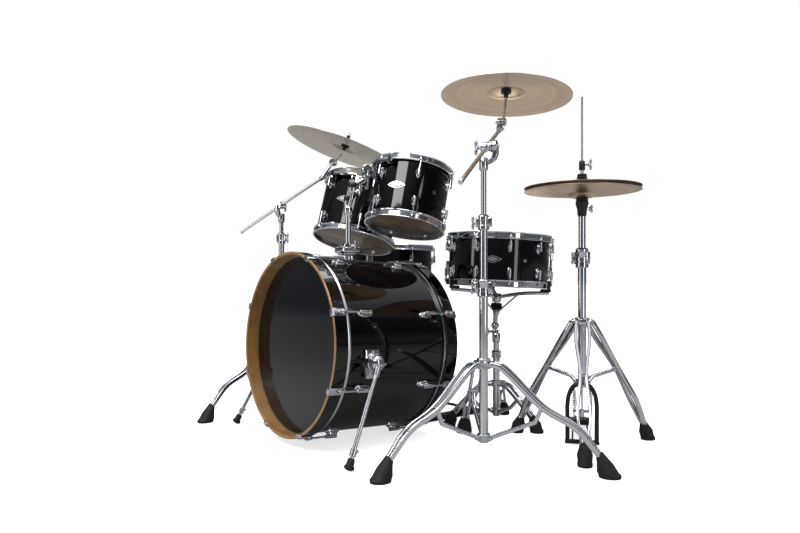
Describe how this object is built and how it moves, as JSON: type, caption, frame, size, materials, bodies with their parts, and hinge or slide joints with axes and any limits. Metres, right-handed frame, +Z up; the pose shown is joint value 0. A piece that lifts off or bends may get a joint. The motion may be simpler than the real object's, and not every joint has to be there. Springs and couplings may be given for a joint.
{
  "type": "acoustic drum kit",
  "caption": "Acoustic drum kit: bass drum with hung toms, floor tom, snare drum on its stand, boom-mounted cymbals, hi-hat and kick pedal.",
  "frame": {"origin": "middle of the kit's footprint, on the floor", "axes": "+Z up, -Y towards the audience (the bass drum's front head), +X towards the hi-hat"},
  "size_m": [1.7258, 1.1206, 1.1404],
  "materials": {
    "black_lacquer": "high-gloss black lacquer over maple ply",
    "maple_hoop": "clear-coated maple",
    "chrome": "polished chrome plate",
    "black_head_film": "glossy black polyester film",
    "coated_head_film": "matt coated white polyester film",
    "clear_head_film": "clear polyester film",
    "cymbal_bronze": "lathed cymbal bronze",
    "black_steel": "black powder coat",
    "snare_wire": "bright coiled steel wire",
    "rubber": "matt moulded black rubber",
    "felt": "pressed black wool felt"
  },
  "bodies": {
    "root": {"bass_shell": "black_lacquer", "bass_front_hoop": "maple_hoop", "bass_rear_hoop": "black_lacquer", "bass_front_head": "black_head_film", "bass_batter_head": "coated_head_film", "tom_holder_base": "chrome", "floor_tom_shell": "black_lacquer", "floor_tom_top_hoop": "chrome", "floor_tom_top_head": "coated_head_film", "floor_tom_bottom_hoop": "chrome", "snare_stand_base": "chrome", "crash_stand_base": "chrome", "ride_stand_base": "chrome", "hihat_stand_base": "chrome", "pedal_frame": "black_steel"},
    "spur_left": {"spur_left": "chrome"},
    "spur_right": {"spur_right": "chrome"},
    "tom_post": {"tom_post": "chrome"},
    "high_tom": {"high_tom_arm": "chrome", "high_tom_shell": "black_lacquer", "high_tom_top_hoop": "chrome", "high_tom_top_head": "coated_head_film", "high_tom_bottom_hoop": "chrome", "high_tom_bottom_head": "clear_head_film"},
    "low_tom": {"low_tom_arm": "chrome", "low_tom_shell": "black_lacquer", "low_tom_top_hoop": "chrome", "low_tom_top_head": "coated_head_film", "low_tom_bottom_hoop": "chrome", "low_tom_bottom_head": "clear_head_film"},
    "floor_leg_front": {"floor_tom_leg_front": "chrome"},
    "floor_leg_back": {"floor_tom_leg_back": "chrome"},
    "floor_leg_side": {"floor_tom_leg_side": "chrome"},
    "snare_column": {"snare_top_tube": "chrome"},
    "snare_drum": {"snare_basket": "chrome", "snare_shell": "black_lacquer", "snare_top_hoop": "chrome", "snare_top_head": "coated_head_film", "snare_bottom_hoop": "chrome", "snare_bottom_head": "clear_head_film"},
    "snare_lever": {"snare_throw_off_lever": "chrome"},
    "snare_strands": {"snare_wires": "snare_wire"},
    "crash_middle": {"crash_middle_tube": "chrome"},
    "crash_top": {"crash_top_tube": "chrome"},
    "crash_boom": {"crash_boom_arm": "chrome"},
    "crash_tilter": {"crash_cymbal_tilter": "chrome"},
    "crash_plate": {"crash_cymbal": "cymbal_bronze"},
    "ride_middle": {"ride_middle_tube": "chrome"},
    "ride_top": {"ride_top_tube": "chrome"},
    "ride_boom": {"ride_boom_arm": "chrome"},
    "ride_tilter": {"ride_cymbal_tilter": "chrome"},
    "ride_plate": {"ride_cymbal": "cymbal_bronze"},
    "hihat_pedal": {"hihat_footboard": "black_steel"},
    "hihat_rod": {"hihat_pull_rod": "chrome"},
    "hihat_column": {"hihat_top_tube": "chrome", "hihat_bottom_cymbal": "cymbal_bronze"},
    "hihat_hanger": {"hihat_clutch": "chrome", "hihat_top_cymbal": "cymbal_bronze"},
    "kick_footboard": {"pedal_footboard": "black_steel"},
    "kick_beater": {"pedal_beater": "chrome"}
  },
  "joints": [
    {"name": "spur_left_fold", "type": "hinge", "parent": "root", "child": "spur_left", "pos_m": [-0.26423, -0.32615, 0.275], "axis": [1, 0, 0], "range_deg": [0, 110]},
    {"name": "spur_right_fold", "type": "hinge", "parent": "root", "child": "spur_right", "pos_m": [0.29577, -0.32615, 0.275], "axis": [1, 0, 0], "range_deg": [0, 110]},
    {"name": "tom_post_height", "type": "slide", "parent": "root", "child": "tom_post", "axis": [0, 0, 1], "range_m": [-0.04, 0.01]},
    {"name": "high_tom_tilt", "type": "hinge", "parent": "tom_post", "child": "high_tom", "pos_m": [0.02977, -0.21315, 0.828], "axis": [0.918, -0.3965, 0], "range_deg": [-7, 20]},
    {"name": "low_tom_tilt", "type": "hinge", "parent": "tom_post", "child": "low_tom", "pos_m": [-0.00223, -0.21115, 0.787], "axis": [0.6402, 0.7682, 0], "range_deg": [-8, 1.5]},
    {"name": "floor_tom_leg_front_height", "type": "slide", "parent": "root", "child": "floor_leg_front", "axis": [0, 0, 1], "range_m": [0, 0.2]},
    {"name": "floor_tom_leg_back_height", "type": "slide", "parent": "root", "child": "floor_leg_back", "axis": [0, 0, 1], "range_m": [0, 0.2]},
    {"name": "floor_tom_leg_side_height", "type": "slide", "parent": "root", "child": "floor_leg_side", "axis": [0, 0, 1], "range_m": [0, 0.2]},
    {"name": "snare_height", "type": "slide", "parent": "root", "child": "snare_column", "axis": [0, 0, 1], "range_m": [-0.028, 0.08]},
    {"name": "snare_tilt", "type": "hinge", "parent": "snare_column", "child": "snare_drum", "pos_m": [0.18257, 0.30775, 0.346], "axis": [1, 0, 0], "range_deg": [-10, 12]},
    {"name": "snare_throw_off", "type": "hinge", "parent": "snare_drum", "child": "snare_lever", "pos_m": [0.29966, 0.47679, 0.59538], "axis": [0.8243, -0.5661, -0.0028], "range_deg": [0, 80]},
    {"name": "snare_wires_drop", "type": "slide", "parent": "snare_drum", "child": "snare_strands", "axis": [-0.026, -0.033, -0.9991], "range_m": [0, 0.003]},
    {"name": "crash_middle_tube_height", "type": "slide", "parent": "root", "child": "crash_middle", "axis": [0, 0, 1], "range_m": [-0.02, 0.1]},
    {"name": "crash_top_tube_height", "type": "slide", "parent": "crash_middle", "child": "crash_top", "axis": [0, 0, 1], "range_m": [-0.02, 0.08]},
    {"name": "crash_boom_tilt", "type": "hinge", "parent": "crash_top", "child": "crash_boom", "pos_m": [0.53137, -0.09005, 0.8925], "axis": [0.8695, 0.494, 0], "range_deg": [-15, 25]},
    {"name": "crash_cymbal_tilt", "type": "hinge", "parent": "crash_boom", "child": "crash_tilter", "pos_m": [0.44477, 0.06285, 1.001], "axis": [0.8695, 0.494, 0], "range_deg": [-12, 20]},
    {"name": "crash_cymbal_spin", "type": "hinge", "parent": "crash_tilter", "child": "crash_plate", "pos_m": [0.43577, 0.09185, 1.087], "axis": [-0.013, 0.073, 0.9972], "continuous": true},
    {"name": "ride_middle_tube_height", "type": "slide", "parent": "root", "child": "ride_middle", "axis": [0, 0, 1], "range_m": [-0.01, 0.1]},
    {"name": "ride_top_tube_height", "type": "slide", "parent": "ride_middle", "child": "ride_top", "axis": [0, 0, 1], "range_m": [-0.01, 0.08]},
    {"name": "ride_boom_tilt", "type": "hinge", "parent": "ride_top", "child": "ride_boom", "pos_m": [-0.51053, -0.19505, 0.8083], "axis": [0.4821, -0.8761, 0], "range_deg": [-1, 30]},
    {"name": "ride_cymbal_tilt", "type": "hinge", "parent": "ride_boom", "child": "ride_tilter", "pos_m": [-0.32273, -0.06615, 0.969], "axis": [0.4821, -0.8761, 0], "range_deg": [-5, 20]},
    {"name": "ride_cymbal_spin", "type": "hinge", "parent": "ride_tilter", "child": "ride_plate", "pos_m": [-0.30423, -0.03115, 1.017], "axis": [0.16, 0.2911, 0.9432], "continuous": true},
    {"name": "hihat_footboard_press", "type": "hinge", "parent": "root", "child": "hihat_pedal", "pos_m": [0.41603, 0.48946, 0.03], "axis": [0.7848, 0.6198, 0], "range_deg": [0, 1.8], "stiffness_Nm_per_rad": 336.93, "springref_deg": -1.53},
    {"name": "hihat_pull_rod_travel", "type": "slide", "parent": "root", "child": "hihat_rod", "axis": [0, 0, 1], "range_m": [-0.0098, 0]},
    {"name": "hihat_top_tube_height", "type": "slide", "parent": "root", "child": "hihat_column", "axis": [0, 0, 1], "range_m": [-0.08, 0]},
    {"name": "hihat_clutch_height", "type": "slide", "parent": "hihat_rod", "child": "hihat_hanger", "axis": [0, 0, 1], "range_m": [0, 0.12]},
    {"name": "kick_footboard_press", "type": "hinge", "parent": "root", "child": "kick_footboard", "pos_m": [0.01577, 0.32185, 0.026], "axis": [1, 0, 0], "range_deg": [0, 11], "stiffness_Nm_per_rad": 73.52, "springref_deg": -3.67},
    {"name": "kick_beater_swing", "type": "hinge", "parent": "root", "child": "kick_beater", "pos_m": [0.01577, 0.06685, 0.178], "axis": [1, 0, 0], "range_deg": [0, 52]}
  ],
  "couplings": [
    {"joint": "snare_throw_off", "follows": "snare_wires_drop", "rad_per_m": 465.4},
    {"joint": "hihat_pull_rod_travel", "follows": "hihat_footboard_press", "m_per_rad": -0.27},
    {"joint": "kick_beater_swing", "follows": "kick_footboard_press", "ratio": 4.7}
  ]
}
